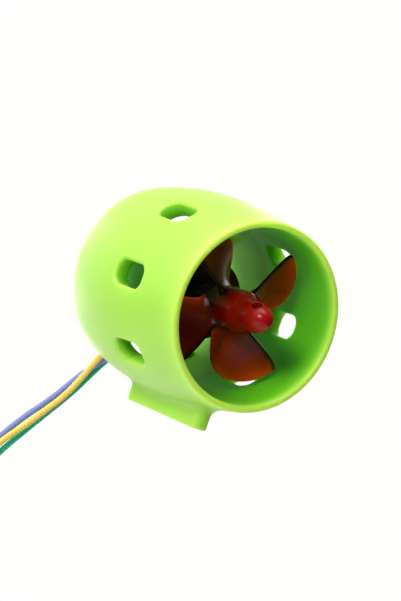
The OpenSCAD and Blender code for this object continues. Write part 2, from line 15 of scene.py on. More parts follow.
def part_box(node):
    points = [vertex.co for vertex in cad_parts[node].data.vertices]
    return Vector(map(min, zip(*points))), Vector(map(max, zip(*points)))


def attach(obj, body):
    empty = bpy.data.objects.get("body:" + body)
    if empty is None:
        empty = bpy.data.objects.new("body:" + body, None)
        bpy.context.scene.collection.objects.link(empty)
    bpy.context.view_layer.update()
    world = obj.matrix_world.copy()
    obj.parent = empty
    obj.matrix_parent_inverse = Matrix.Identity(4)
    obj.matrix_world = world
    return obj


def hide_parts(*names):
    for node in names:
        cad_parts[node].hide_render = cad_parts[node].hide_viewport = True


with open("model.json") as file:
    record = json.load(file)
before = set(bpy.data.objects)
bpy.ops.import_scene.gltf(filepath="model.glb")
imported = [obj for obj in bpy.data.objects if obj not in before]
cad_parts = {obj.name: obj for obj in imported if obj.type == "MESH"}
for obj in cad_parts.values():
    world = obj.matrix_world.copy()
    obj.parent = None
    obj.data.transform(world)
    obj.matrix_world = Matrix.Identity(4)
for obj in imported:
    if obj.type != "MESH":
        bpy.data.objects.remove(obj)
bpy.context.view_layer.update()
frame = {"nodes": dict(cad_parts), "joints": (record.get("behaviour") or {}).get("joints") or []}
MM = 0.001

# Camera
# It stands 0.9 m out from the exit, almost level with the shaft, and is rolled so that
# the thruster leans to the right in the picture.
SHAFT_Z = frame["joints"][0]["pos_m"][2]
EXIT_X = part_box("nozzle")[1].x
VIEW_AZIMUTH = math.radians(56.46)
VIEW_ELEVATION = math.radians(0.86)
VIEW_ROLL = math.radians(18.91)
VIEW_DISTANCE = 900 * MM
AIM_LEFT = 18.99 * MM
AIM_UP = 5.75 * MM
LENS_MM = 163.57

turn = Matrix.Rotation(VIEW_AZIMUTH, 3, "Z")
turn = turn @ Matrix.Rotation(math.pi / 2 - VIEW_ELEVATION, 3, "X")
turn = turn @ Matrix.Rotation(VIEW_ROLL, 3, "Z")
camera = bpy.data.objects.new("camera", bpy.data.cameras.new("camera"))
bpy.context.scene.collection.objects.link(camera)
camera.data.lens = LENS_MM
camera.data.clip_end = 20
camera.matrix_world = turn.to_4x4()
camera.location = Vector((EXIT_X, 0, SHAFT_Z)) + turn @ Vector((-AIM_LEFT, AIM_UP, VIEW_DISTANCE))
bpy.context.scene.camera = camera

# Leads
# Three limp silicone-jacketed motor leads leave the grommet behind the motor, fall out of the
# inlet and hang down to their plugs. Each jacket is extruded on, smooth and slightly soft.
LEAD_R = 1.1 * MM
LEAD_SIDES = 24
LEAD_STEPS = 6
MERGE_GAP = 0.002 * MM
# Centre lines from the grommet to the plugs, the same as the solids' own
LEAD_ROUTES_MM = {
    "blue": [
        (-31.8, 0, 32.6), (-34.4, 0, 32.6), (-37.2, 0.2, 30.9), (-39.5, 0.8, 26.3), (-40.9, 1.3, 21.4),
        (-42, 1.2, 16.9), (-43.9, 0, 12.4), (-47.5, -2, 8), (-50.9, -4.2, 3.2), (-53.7, -6.7, -2.3),
        (-56.1, -9.3, -7.9), (-58.4, -12.2, -13.1), (-60.6, -15.2, -18), (-62.7, -18.1, -23.2),
        (-64.7, -20.8, -28.7), (-66.4, -23.3, -34.3), (-67.8, -25.6, -40.1), (-68.7, -27.6, -46.2),
        (-69.4, -29, -52.5), (-69.8, -30.2, -58.8), (-70.1, -31.2, -66), (-70.2, -31.9, -74),
        (-70.2, -32.5, -83), (-70.3, -33, -93), (-70.3, -33.4, -103.3), (-70.3, -33.4, -112)],
    "yellow": [
        (-31.8, -2.6, 32.6), (-34.4, -2.6, 32.6), (-37.2, -2.4, 30.9), (-39.6, -1.9, 26.3),
        (-41.2, -1.6, 21.6), (-42.2, -2.1, 17.8), (-43.3, -3, 14.1), (-45.9, -4.5, 8.4), (-48.2, -6, 2.1),
        (-50.3, -7.8, -4), (-52.5, -10, -9.5), (-54.9, -12.7, -14.7), (-57.1, -15.5, -19.9),
        (-59.4, -18.4, -24.8), (-61.4, -21.3, -29.7), (-63, -23.8, -35.1), (-64, -26.1, -41.1),
        (-64.8, -27.8, -47.3), (-65, -29.2, -53.7), (-65.2, -30.1, -60.2), (-65.2, -30.9, -67),
        (-65.2, -31.5, -75), (-65.2, -32.1, -84), (-65.1, -32.6, -94), (-65, -33, -104.5), (-65, -33, -112)],
    "green": [
        (-31.8, 2.6, 32.6), (-34.4, 2.6, 32.6), (-37.4, 2.8, 30.9), (-39.9, 3.4, 26.5), (-41.7, 3.7, 21.8),
        (-43.7, 3.4, 17.1), (-46.4, 2.4, 13.1), (-49.3, 0.7, 8.2), (-51.2, -1.8, 2.5), (-52.7, -4.4, -3.4),
        (-54.4, -7.1, -8.9), (-56.6, -9.8, -14.4), (-58.8, -12.5, -19.9), (-60.8, -15.2, -25.3),
        (-62.6, -17.9, -30.6), (-64.2, -20.4, -36.1), (-65.5, -22.6, -42.1), (-66.3, -24.2, -48.4),
        (-66.8, -25.2, -54.7), (-67, -25.9, -61.1), (-67.2, -26.4, -68), (-67.4, -26.8, -76),
        (-67.5, -27.1, -85), (-67.6, -27.5, -95), (-67.6, -27.8, -105), (-67.6, -27.8, -112)],
}
LEAD_COLOURS = {"blue": (0.17, 0.22, 0.54), "yellow": (0.86, 0.56, 0.1), "green": (0.006, 0.42, 0.22)}


def grid(points, closed=False):
    """Points and quads of a (rows, columns, 3) array; closed joins the last column to the first."""
    rows, columns = points.shape[:2]
    index = np.arange(rows * columns).reshape(rows, columns)
    if closed:
        index = np.concatenate([index, index[:, :1]], axis=1)
    quads = np.stack([index[:-1, :-1], index[:-1, 1:], index[1:, 1:], index[1:, :-1]], axis=-1)
    return points.reshape(-1, 3), quads.reshape(-1, 4)


def weld(name, patches, material, sharp_above=50, **marks):
    """One smooth mesh of several grids, with shared borders merged and all faces turned outwards.

    Edges that bend by more than sharp_above degrees stay crisp. Each further word is an attribute
    with one value for each point of the grids.
    """
    starts = np.cumsum([0] + [len(points) for points, quads in patches[:-1]])
    points = np.concatenate([points for points, quads in patches])
    quads = np.concatenate([quads + start for (_, quads), start in zip(patches, starts)])
    mesh = bpy.data.meshes.new(name)
    mesh.from_pydata(points.tolist(), [], quads.tolist())
    for word, values in marks.items():
        mesh.attributes.new(word, "FLOAT", "POINT").data.foreach_set("value", np.asarray(values, np.float32))
    work = bmesh.new()
    work.from_mesh(mesh)
    bmesh.ops.remove_doubles(work, verts=work.verts, dist=MERGE_GAP)
    bmesh.ops.recalc_face_normals(work, faces=work.faces)
    work.to_mesh(mesh)
    work.free()
    mesh.shade_smooth()
    mesh.set_sharp_from_angle(angle=math.radians(sharp_above))
    mesh.materials.append(material)
    piece = bpy.data.objects.new(name, mesh)
    bpy.context.scene.collection.objects.link(piece)
    return piece


def curve_through(knots, values, at):
    """Cubic curve through values at rising knots: each stretch is the Hermite blend of its two
    ends and of their slopes, which come from the neighbouring knots."""
    slopes = np.gradient(values, knots, axis=0)
    low = np.clip(np.searchsorted(knots, at, side="right") - 1, 0, len(knots) - 2)
    shape = (-1,) + (1,) * (values.ndim - 1)
    span = (knots[low + 1] - knots[low]).reshape(shape)
    t = ((at - knots[low]) / (knots[low + 1] - knots[low])).reshape(shape)
    rise = values[low] * (1 + 2 * t) * (1 - t) ** 2 + values[low + 1] * t * t * (3 - 2 * t)
    return rise + span * (slopes[low] * t * (1 - t) ** 2 - slopes[low + 1] * t * t * (1 - t))


def tube(path, radius, sides):
    """Round tube: at each path point a circle of that radius stands square to the path."""
    ahead = np.gradient(path, axis=0)
    ahead /= np.linalg.norm(ahead, axis=1, keepdims=True)
    across = np.cross(ahead, (1, -1, 0))
    across /= np.linalg.norm(across, axis=1, keepdims=True)
    above = np.cross(ahead, across)
    angle = np.linspace(0, 2 * np.pi, sides, endpoint=False)[None, :, None]
    return path[:, None] + radius * (np.cos(angle) * across[:, None] + np.sin(angle) * above[:, None])


def surface_marks():
    """Node group for faint unevenness: broad patches shift the colour's brightness and the
    roughness, and a fine grain gives a height for a bump."""
    group = bpy.data.node_groups.new("surface_marks", "ShaderNodeTree")
    for name, kind in (("Colour", "NodeSocketColor"), ("Roughness", "NodeSocketFloat"),
                       ("Patch Scale", "NodeSocketFloat"), ("Colour Shift", "NodeSocketFloat"),
                       ("Roughness Shift", "NodeSocketFloat"), ("Grain Scale", "NodeSocketFloat")):
        group.interface.new_socket(name, in_out="INPUT", socket_type=kind)
    for name, kind in (("Colour", "NodeSocketColor"), ("Roughness", "NodeSocketFloat"),
                       ("Height", "NodeSocketFloat")):
        group.interface.new_socket(name, in_out="OUTPUT", socket_type=kind)
    node, link = group.nodes.new, group.links.new
    given, made = node("NodeGroupInput"), node("NodeGroupOutput")
    place = node("ShaderNodeTexCoord")
    patches, grain = node("ShaderNodeTexNoise"), node("ShaderNodeTexNoise")
    patches.inputs["Detail"].default_value = 3
    grain.inputs["Detail"].default_value = 2
    link(place.outputs["Object"], patches.inputs["Vector"])
    link(place.outputs["Object"], grain.inputs["Vector"])
    link(given.outputs["Patch Scale"], patches.inputs["Scale"])
    link(given.outputs["Grain Scale"], grain.inputs["Scale"])
    centred = node("ShaderNodeMath")
    centred.operation = "SUBTRACT"
    centred.inputs[1].default_value = 0.5
    link(patches.outputs["Fac"], centred.inputs[0])
    brightness, roughness = node("ShaderNodeMath"), node("ShaderNodeMath")
    for part, shift in ((brightness, "Colour Shift"), (roughness, "Roughness Shift")):
        part.operation = "MULTIPLY_ADD"
        link(centred.outputs[0], part.inputs[0])
        link(given.outputs[shift], part.inputs[1])
    brightness.inputs[2].default_value = 1
    link(given.outputs["Roughness"], roughness.inputs[2])
    tint = node("ShaderNodeHueSaturation")
    link(given.outputs["Colour"], tint.inputs["Color"])
    link(brightness.outputs[0], tint.inputs["Value"])
    link(tint.outputs["Color"], made.inputs["Colour"])
    link(roughness.outputs[0], made.inputs["Roughness"])
    link(grain.outputs["Fac"], made.inputs["Height"])
    return group


MARKS = surface_marks()


def finish(name, colour, roughness, patch=12, shift=0.06, rough_shift=0.08, grain=0.4, bump=0.02,
           **sockets):
    """Material of one surface: patch and grain are sizes in millimetres, bump is the grain's height
    in millimetres, and each further word sets a socket of the shader."""
    material = bpy.data.materials.new(name)
    material.use_nodes = True
    nodes, link = material.node_tree.nodes, material.node_tree.links.new
    shader = nodes["Principled BSDF"]
    marks = nodes.new("ShaderNodeGroup")
    marks.node_tree = MARKS
    for socket, value in (("Colour", (*colour, 1)), ("Roughness", roughness), ("Colour Shift", shift),
                          ("Roughness Shift", rough_shift), ("Patch Scale", 1 / (patch * MM)),
                          ("Grain Scale", 1 / (grain * MM))):
        marks.inputs[socket].default_value = value
    link(marks.outputs["Colour"], shader.inputs["Base Color"])
    link(marks.outputs["Roughness"], shader.inputs["Roughness"])
    relief = nodes.new("ShaderNodeBump")
    relief.inputs["Distance"].default_value = bump * MM
    link(marks.outputs["Height"], relief.inputs["Height"])
    link(relief.outputs["Normal"], shader.inputs["Normal"])
    for socket, value in sockets.items():
        shader.inputs[socket.replace("_", " ")].default_value = value
    return material


def seat(piece, body, slot, *nodes):
    """A piece rides on a body and stands for these nodes, which it hides. The slot is not used."""
    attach(piece, body)
    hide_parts(*nodes)


lead_paths = {}
leads = {}
for hue, route in LEAD_ROUTES_MM.items():
    knots = np.arange(len(route), dtype=float)
    fine = np.linspace(0, len(route) - 1, LEAD_STEPS * (len(route) - 1) + 1)
    lead_paths[hue] = curve_through(knots, np.array(route, float) * MM, fine)
    jacket = finish("jacket_" + hue, LEAD_COLOURS[hue], 0.45, patch=5, shift=0.04, grain=3, bump=0.001,
                    Specular_IOR_Level=0.4)
    jacket_points = tube(lead_paths[hue], LEAD_R, LEAD_SIDES)
    leads[hue] = weld("lead_jacket_" + hue, [grid(jacket_points, closed=True)], jacket)
    seat(leads[hue], "housing", hue + "_silicone", "lead_" + hue)

# Plugs
# Each lead ends in a gold-plated bullet plug. Its tail is soldered on under a black sleeve of
# heat-shrunk tube, and its bowed pin is slit lengthways so that it springs in its socket.
SLEEVE_R = 2.2 * MM
PIN_R = 1.75 * MM
SLEEVE_SIDES, PIN_SIDES = 40, 64
# Outlines of both: height above the lead's cut end, then radius
SLEEVE_OUTLINE = [(5 * MM, LEAD_R), (5 * MM, LEAD_R + 0.35 * MM), (1.5 * MM, SLEEVE_R), (-5 * MM, SLEEVE_R),
                  (-5 * MM, PIN_R)]
PIN_OUTLINE = [(-4.4 * MM, 0), (-4.4 * MM, PIN_R), (-5.6 * MM, PIN_R + 0.1 * MM), (-6 * MM, PIN_R - 0.25 * MM),
               (-10 * MM, PIN_R + 0.05 * MM), (-13 * MM, PIN_R - 0.2 * MM), (-15 * MM, PIN_R - 0.75 * MM),
               (-15 * MM, 0)]
SLEEVE_EDGE = 0.8 * MM
PIN_EDGE = 0.7 * MM
SLIT_DEPTH = 0.3 * MM
SLIT_WIDTH = 0.22
SLIT_ENDS = (-13.6 * MM, -6.4 * MM)
SLIT_RUN_OUT = 0.6 * MM


def turned(profile, count=96, first=0.0):
    """Profile of (place along the line, radius) points carried round that line, which is X."""
    angle = first + np.linspace(0, 2 * np.pi, count, endpoint=False)
    along, radius = np.asarray(profile, float).T[:, :, None]
    return np.stack(np.broadcast_arrays(along, radius * np.sin(angle), radius * np.cos(angle)), axis=-1)


def softened(corners, radius, steps=6):
    """Outline through these corners in which each inner corner is a parabola that begins and ends
    that far from it, or half-way to the next corner where that is nearer."""
    corners = np.asarray(corners, float)
    middle = corners[1:-1]
    starts, ends = [
        middle + (other - middle)
        * np.minimum(radius / np.linalg.norm(other - middle, axis=1, keepdims=True), 0.5)
        for other in (corners[:-2], corners[2:])]
    t = np.linspace(0, 1, steps)[None, :, None]
    bends = starts[:, None] * (1 - t) ** 2 + 2 * middle[:, None] * t * (1 - t) + ends[:, None] * t * t
    return np.concatenate([corners[:1], bends.reshape(-1, 2), corners[-1:]])


def hung(points, foot):
    """Turns a piece made along X to hang plumb, with its x as height above the foot."""
    return points[..., ::-1] + np.asarray(foot)


rubber = finish("shrink_sleeve", (0.018, 0.018, 0.02), 0.5, patch=3, grain=0.3, bump=0.03)
gold = finish("gold_plate", (0.83, 0.56, 0.17), 0.24, patch=4, grain=0.2, bump=0.005, Metallic=1.0)
for hue, lead in leads.items():
    path = lead_paths[hue]
    foot = path[-1]
    cover = turned(softened(SLEEVE_OUTLINE, SLEEVE_EDGE), SLEEVE_SIDES)
    sleeve = weld("shrink_sleeve_" + hue, [grid(hung(cover, foot), closed=True)], rubber)
    seat(sleeve, "housing", "black_rubber", "sleeve_" + hue)
    pin_shape = turned(softened(PIN_OUTLINE, PIN_EDGE), PIN_SIDES)
    # Four slits: the radius dips where the angle comes near a quarter turn and the pin is bowed
    angle = np.linspace(0, 2 * np.pi, PIN_SIDES, endpoint=False)
    height = pin_shape[..., :1]
    bowed = np.clip((SLIT_ENDS[1] - height) / SLIT_RUN_OUT, 0, 1)
    bowed = bowed * np.clip((height - SLIT_ENDS[0]) / SLIT_RUN_OUT, 0, 1)
    slit = np.exp(-(np.sin(2 * angle) / SLIT_WIDTH) ** 2)[None, :, None] * bowed
    pin_shape[..., 1:] *= 1 - slit * SLIT_DEPTH / PIN_R
    pin = weld("plug_pin_" + hue, [grid(hung(pin_shape, foot), closed=True)], gold)
    seat(pin, "housing", "gold", "pin_" + hue)

# Nozzle
# The duct is one satin, slightly see-through moulding of lime-green plastic: a straight bore in
# a barrel-shaped wall, seven soft-edged vent slots, and a keel that two screws hold from below.
INLET_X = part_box("nozzle")[0].x
BORE_R = 30 * MM
EXIT_LIP_R = 32.2 * MM
INLET_LIP_R = 31.9 * MM
SEAT_R = 31 * MM
SEAT_X = EXIT_X - 41.6 * MM
BELLY_R = 35.8 * MM
BELLY_X = EXIT_X - 39 * MM
LIP_LEN = 0.95 * MM
SEAM_EDGE = 0.1 * MM
SLOT_X = EXIT_X - 28.8 * MM
SLOT_SIZE = (15.4 * MM, 8.6 * MM)
SLOT_CORNER = 3.6 * MM
SLOT_MOUTH = 1.3 * MM
SLOT_INNER_MOUTH = 0.9 * MM
SLOT_ANGLES = (0, 45, 90, 135, 225, 270, 315)
KEEL_SIZE = (47 * MM, 6 * MM)
KEEL_CORNER = 2.9 * MM
KEEL_FILLET = 3 * MM
FOOT_EDGE = 0.4 * MM
FOOT_END_EDGE = 1.0 * MM
PILOT_R = 1.25 * MM
PILOT_X = 16 * MM
PILOT_DEPTH = 9 * MM
PILOT_TIP = 0.7 * MM
PANEL_FRONT = EXIT_X - 4 * MM
PANEL_REAR = INLET_X + 5 * MM
PANEL_HALF = np.pi / 8
LONG_COUNT, WIDE_COUNT = 36, 24
FIELD_ROWS = 18
FIELD_PACE = 1.7
ROLL_STEPS = 7
CORNER_STEPS = 17
CORNER_EASE = 0.8
WALL_SKIN = 0.5 * MM
# Fade length of the painted glow at the exit lip, and of the painted shade's fall-off towards it
RIM_FADE = 3 * MM
LIME = (0.355, 0.67, 0.065)
# Painted shade: the bore's darker, deeper green stands for the shade inside the duct
BORE_SHADE_COLOUR = (0.1, 0.5, 0.004)
# Painted glow: the exit lip is lighter, as light passes through the thin plastic there
LIP_GLOW_COLOUR = (0.52, 0.98, 0.1)


def hull_radius(x):
    """Outer radius: a parabola from the exit lip to the belly, then a superellipse of power 1.5
    from the belly to the inlet lip."""
    front = BELLY_R - (BELLY_R - EXIT_LIP_R) * ((x - BELLY_X) / (EXIT_X - BELLY_X)) ** 2
    share = np.clip((BELLY_X - x) / (BELLY_X - INLET_X), 0, 1)
    rear = INLET_LIP_R + (BELLY_R - INLET_LIP_R) * (1 - share ** 1.5) ** (1 / 1.5)
    return np.where(x >= BELLY_X, front, rear)


def bore_radius(x):
    """The bore is straight."""
    return np.full_like(x, BORE_R)


def rounded_box(centre_x, size, corner):
    """Rounded rectangle as points and outward normals: four corner arcs, walked along each side from
    the middle of one corner to the middle of the next, slowly at first and at the end."""
    arc = np.linspace(0, np.pi / 2, CORNER_STEPS) + np.arange(4)[:, None] * np.pi / 2
    normal = np.stack([np.cos(arc), np.sin(arc)], axis=-1)
    quadrant = np.array([(1, 1), (-1, 1), (-1, -1), (1, -1)])
    point = (quadrant * (np.array(size) / 2 - corner))[:, None] + corner * normal
    loop = np.concatenate([point, normal], axis=-1).reshape(-1, 4)
    half = CORNER_STEPS // 2
    loop = np.concatenate([loop[half:], loop[:half + 1]])
    walked = np.concatenate([[0], np.cumsum(np.linalg.norm(np.diff(loop[:, :2], axis=0), axis=1))])
    stops = walked[::CORNER_STEPS]
    steps = [np.linspace(0, 1, n, endpoint=False) for n in (LONG_COUNT, WIDE_COUNT) * 2]
    pace = np.concatenate([a + (b - a) * (t - CORNER_EASE * np.sin(2 * np.pi * t) / (2 * np.pi))
                           for a, b, t in zip(stops[:-1], stops[1:], steps)])
    x, s, nx, ns = [np.interp(pace, walked, column) for column in loop.T]
    normals = np.stack([nx, ns], axis=-1)
    return np.stack([x + centre_x, s], axis=-1), normals / np.linalg.norm(normals, axis=1, keepdims=True)


def panel_border(front, rear, half_angle):
    """x and angle of a panel's border, walked as rounded_box walks its outline."""
    corner_x = (front, rear, rear, front, front)
    corner_angle = (half_angle, half_angle, -half_angle, -half_angle, half_angle)
    counts = (LONG_COUNT, WIDE_COUNT) * 2
    return [np.concatenate([np.linspace(a, b, n, endpoint=False)
                            for a, b, n in zip(corners[:-1], corners[1:], counts)])
            for corners in (corner_x, corner_angle)]


def on_radius(flat, radius):
    """Points of a panel from (x, sideways) pairs: they stand at that radius from the shaft."""
    return np.stack([flat[..., 0], flat[..., 1], np.sqrt(radius ** 2 - flat[..., 1] ** 2)], axis=-1)


def field(rim, border, radius_of, rows):
    """Rows of a panel from its border in to a rim, closer together near the rim."""
    x, angle = border
    edge = np.stack([x, radius_of(x) * np.sin(angle)], axis=-1)
    share = np.linspace(1, 0, rows)[:, None, None] ** FIELD_PACE
    flat = rim + (edge - rim) * share
    return on_radius(flat, radius_of(flat[..., 0]))


def turned_to(points, angle):
    """A panel made facing +Z, turned about the shaft by an angle and lifted to the shaft's height."""
    x, s, out = np.moveaxis(points, -1, 0)
    return np.stack([x, s * np.cos(angle) - out * np.sin(angle),
                     s * np.sin(angle) + out * np.cos(angle) + SHAFT_Z], axis=-1)


def pierced_panel(outline, normals, borders, outer_of, inner_of, mouth, inner_mouth,
                  rows=FIELD_ROWS):
    """Panel with a hole: the outer face runs in from the first border to the hole, rolls over its
    mouth, goes down its wall, and rolls out again on to the inner face, up to the second border."""
    roll = np.linspace(0, np.pi / 2, ROLL_STEPS)[:, None]
    over = outline + (mouth * (1 - np.sin(roll)))[..., None] * normals
    under = outline + (inner_mouth * (1 - np.sin(roll[::-1])))[..., None] * normals
    return np.concatenate([
        field(outline + mouth * normals, borders[0], outer_of, rows),
        on_radius(over, outer_of(over[..., 0]) - mouth * (1 - np.cos(roll)))[1:],
        on_radius(under, inner_of(under[..., 0]) + inner_mouth * (1 - np.cos(roll[::-1]))),
        field(outline + inner_mouth * normals, borders[1], inner_of, rows)[-2::-1]])


def keel_panel(border):
    """Panel that runs out into the keel: round the keel's outline the hull sweeps into a hollow
    fillet, drops down the keel's side and rolls under its foot. Returns the rows and the foot's rim."""
    outline, normals = rounded_box(0, KEEL_SIZE, KEEL_CORNER)
    roll = np.linspace(0, np.pi / 2, 9)[:, None]
    swept = outline + (KEEL_FILLET * (1 - np.sin(roll)))[..., None] * normals
    fillet = on_radius(swept, hull_radius(swept[..., 0]))
    fillet[..., 2] += KEEL_FILLET * (1 - np.cos(roll))
    foot_round = FOOT_EDGE + FOOT_END_EDGE * normals[:, 0] ** 2
    foot = outline - (foot_round * (1 - np.cos(roll)))[..., None] * normals
    depth = np.broadcast_to(SHAFT_Z - foot_round * (1 - np.sin(roll)), foot.shape[:2])
    under = np.concatenate([foot, depth[..., None]], axis=-1)
    hull = field(outline + KEEL_FILLET * normals, border, hull_radius, FIELD_ROWS)
    return np.concatenate([hull, fillet[1:], under]), under[-1]


def drilled_half(loop, hole_x):
    """Half of the keel's foot: rows run from its rim in to a pilot hole and down to the hole's tip."""
    away = loop[:, :2] - (hole_x, 0)
    ring = (hole_x, 0) + PILOT_R * away / np.linalg.norm(away, axis=1, keepdims=True)
    share = np.array([1, 0.75, 0.5, 0.25, 0])[:, None, None]
    face = ring + (loop[:, :2] - ring) * share
    face = np.concatenate([face, np.full(face.shape[:2] + (1,), SHAFT_Z)], axis=-1)
    wall = np.concatenate([ring, np.full((len(ring), 1), SHAFT_Z - PILOT_DEPTH)], axis=-1)
    tip = np.broadcast_to((hole_x, 0, SHAFT_Z - PILOT_DEPTH - PILOT_TIP), wall.shape)
    return np.concatenate([face, wall[None], tip[None]])


def tint_by_marks(material, **colours):
    """Leads a finish's colour through one mix after another, each towards a colour by the share
    that the mark of that name gives."""
    nodes, link = material.node_tree.nodes, material.node_tree.links.new
    base = next(node for node in nodes if node.type == "GROUP").inputs["Colour"]
    given = base.default_value[:]
    for mark, colour in colours.items():
        share, mix = nodes.new("ShaderNodeAttribute"), nodes.new("ShaderNodeMix")
        share.attribute_name = mark
        mix.data_type = "RGBA"
        link(share.outputs["Fac"], mix.inputs[0])
        if isinstance(given, bpy.types.NodeSocket):
            link(given, mix.inputs[6])
        else:
            mix.inputs[6].default_value = given
        mix.inputs[7].default_value = (*colour, 1)
        given = mix.outputs[2]
    link(given, base)


def wall_marks(points):
    """Two shares for points of the duct. inside is painted shade of the bore: it rises through the wall
    from 0 at its outer face to 1 at the bore and falls off towards the exit lip. rim is a painted glow
    of light through the thin plastic of the lip: it falls off from the exit lip."""
    radius = np.hypot(points[:, 1], points[:, 2] - SHAFT_Z)
    outer = hull_radius(points[:, 0])
    behind = (EXIT_X - points[:, 0]).clip(0)
    through = np.clip((outer - WALL_SKIN - radius) / (outer - 2 * WALL_SKIN - BORE_R), 0, 1)
    return through * (1 - np.exp(-behind / RIM_FADE)), np.exp(-behind / RIM_FADE)


border = panel_border(PANEL_FRONT, PANEL_REAR, PANEL_HALF)
bore_border = panel_border(PANEL_FRONT, SEAT_X, PANEL_HALF)
slot_outline, slot_normals = rounded_box(SLOT_X, SLOT_SIZE, SLOT_CORNER)
slot_panel = pierced_panel(slot_outline, slot_normals, (border, bore_border), hull_radius, bore_radius,
                           SLOT_MOUTH, SLOT_INNER_MOUTH)
nozzle_patches = [grid(turned_to(slot_panel, math.radians(angle)), closed=True) for angle in SLOT_ANGLES]
keel_rows, foot_rim = keel_panel(border)
nozzle_patches.append(grid(turned_to(keel_rows, math.pi), closed=True))
# The foot is cut across its middle, and each half is drilled for one screw
middle = LONG_COUNT // 2
other_middle = LONG_COUNT + WIDE_COUNT + middle
across_foot = foot_rim[middle] - foot_rim[other_middle]
cut = foot_rim[other_middle] + across_foot * np.linspace(0, 1, 7)[1:-1, None]
rear_half = np.concatenate([foot_rim[middle:other_middle + 1], cut])
front_half = np.concatenate([foot_rim[other_middle:], foot_rim[:middle + 1], cut[::-1]])
for loop, hole_x in ((rear_half, -PILOT_X), (front_half, PILOT_X)):
    nozzle_patches.append(grid(turned_to(drilled_half(loop, hole_x), math.pi), closed=True))
# Above the keel the bore is plain
plain_x = np.linspace(PANEL_FRONT, SEAT_X, LONG_COUNT + 1)[:, None]
plain_angle = np.linspace(-PANEL_HALF, PANEL_HALF, WIDE_COUNT + 1)
plain_flat = np.stack(np.broadcast_arrays(plain_x, BORE_R * np.sin(plain_angle)), axis=-1)
nozzle_patches.append(grid(turned_to(on_radius(plain_flat, BORE_R), math.pi)))
# Both ends are turned rims with a full round lip. The rear one goes on inside as the bracket's
# seat, which ends in a step up to the bore
for panel_x, end_x, bore_r, bore_end in (
        (PANEL_FRONT, EXIT_X, BORE_R, [(PANEL_FRONT, BORE_R)]),
        (PANEL_REAR, INLET_X, SEAT_R, [(SEAT_X, SEAT_R), (SEAT_X, BORE_R + SEAM_EDGE), (SEAT_X, BORE_R)])):
    lip_x = end_x - math.copysign(LIP_LEN, end_x)
    run = np.linspace(panel_x, lip_x, 9)
    roll = np.linspace(0, np.pi, 15)[1:]
    lip_r = float(hull_radius(np.array(lip_x)))
    round_x = lip_x + (end_x - lip_x) * np.sin(roll)
    round_r = (lip_r + bore_r) / 2 + (lip_r - bore_r) / 2 * np.cos(roll)
    rim = np.concatenate([np.stack([run, hull_radius(run)], axis=-1), np.stack([round_x, round_r], axis=-1),
                          bore_end])
    nozzle_patches.append(grid(turned(rim, 8 * WIDE_COUNT, PANEL_HALF) + (0, 0, SHAFT_Z), closed=True))
lime_body = dict(patch=25, shift=0.05, rough_shift=0.1, grain=0.6, bump=0.006, Subsurface_Weight=0.8,
                 Subsurface_Radius=(0.8, 1.0, 0.4), Subsurface_Scale=9.0 * MM)
lime = finish("lime_plastic", LIME, 0.42, **lime_body, Specular_IOR_Level=0.42, Sheen_Weight=0.1,
              Sheen_Roughness=0.4)
# A shaded copy of the plastic: weaker reflections and no sheen stand for the shade inside the duct
lime_shaded = finish("lime_plastic_shaded", LIME, 0.5, **lime_body, Specular_IOR_Level=0.1)
# Both copies take the painted glow at the exit lip and the painted shade in the bore
for plastic in (lime, lime_shaded):
    tint_by_marks(plastic, rim=LIP_GLOW_COLOUR, inside=BORE_SHADE_COLOUR)
inside, lip_glow_share = wall_marks(np.concatenate([points for points, quads in nozzle_patches]))
nozzle = weld("nozzle_moulding", nozzle_patches, lime, sharp_above=70, inside=inside, rim=lip_glow_share)
# The bore's faces take the second material, a shaded copy of the plastic with weaker reflections
nozzle.data.materials.append(lime_shaded)
face_middles = np.empty(3 * len(nozzle.data.polygons), np.float32)
nozzle.data.polygons.foreach_get("center", face_middles)
deep = wall_marks(face_middles.reshape(-1, 3))[0] > 0.5
nozzle.data.polygons.foreach_set("material_index", deep.astype(np.int32))
seat(nozzle, "housing", "nozzle_green", "nozzle")

# Motor bracket
# One moulding of the same plastic: a thin ring, glued flush into the nozzle's rear seat, and four
# short vanes at its rear edge that carry a cup with a drilled plate. The motor sits in the cup.
RING_X = (EXIT_X - 65.6 * MM, SEAT_X)
GLUE_GAP = 0.03 * MM
CUP_R = 14.5 * MM
CUP_IN_R = 13.1 * MM
CUP_X = (EXIT_X - 66 * MM, EXIT_X - 63.5 * MM, EXIT_X - 60.1 * MM)
PLATE_HOLE_R = 5.2 * MM
VANE_T = 2.4 * MM
VANE_LEN = 4 * MM
VANE_SWELL = 0.8 * MM
VANE_ROOT = 0.9 * MM
VANE_ANGLES = (45, 135, 225, 315)
RING_EDGE = 0.35 * MM
CUP_EDGE = 0.5 * MM
# Share of the bore's painted shade that the bracket's colour takes
RING_SHADE = 0.7


def softened_loop(corners, radius):
    """Closed outline with all its corners rounded; its last point repeats the first."""
    loop = softened([corners[-1], *corners, corners[0]], radius)[1:-1]
    return np.concatenate([loop, loop[:1]])


def ring_loop(ends, inner, outer, edge):
    """Outline of a plain ring: its two ends along the shaft, its two radii and the edges' rounding."""
    return softened_loop([(ends[1], outer), (ends[1], inner), (ends[0], inner), (ends[0], outer)], edge)


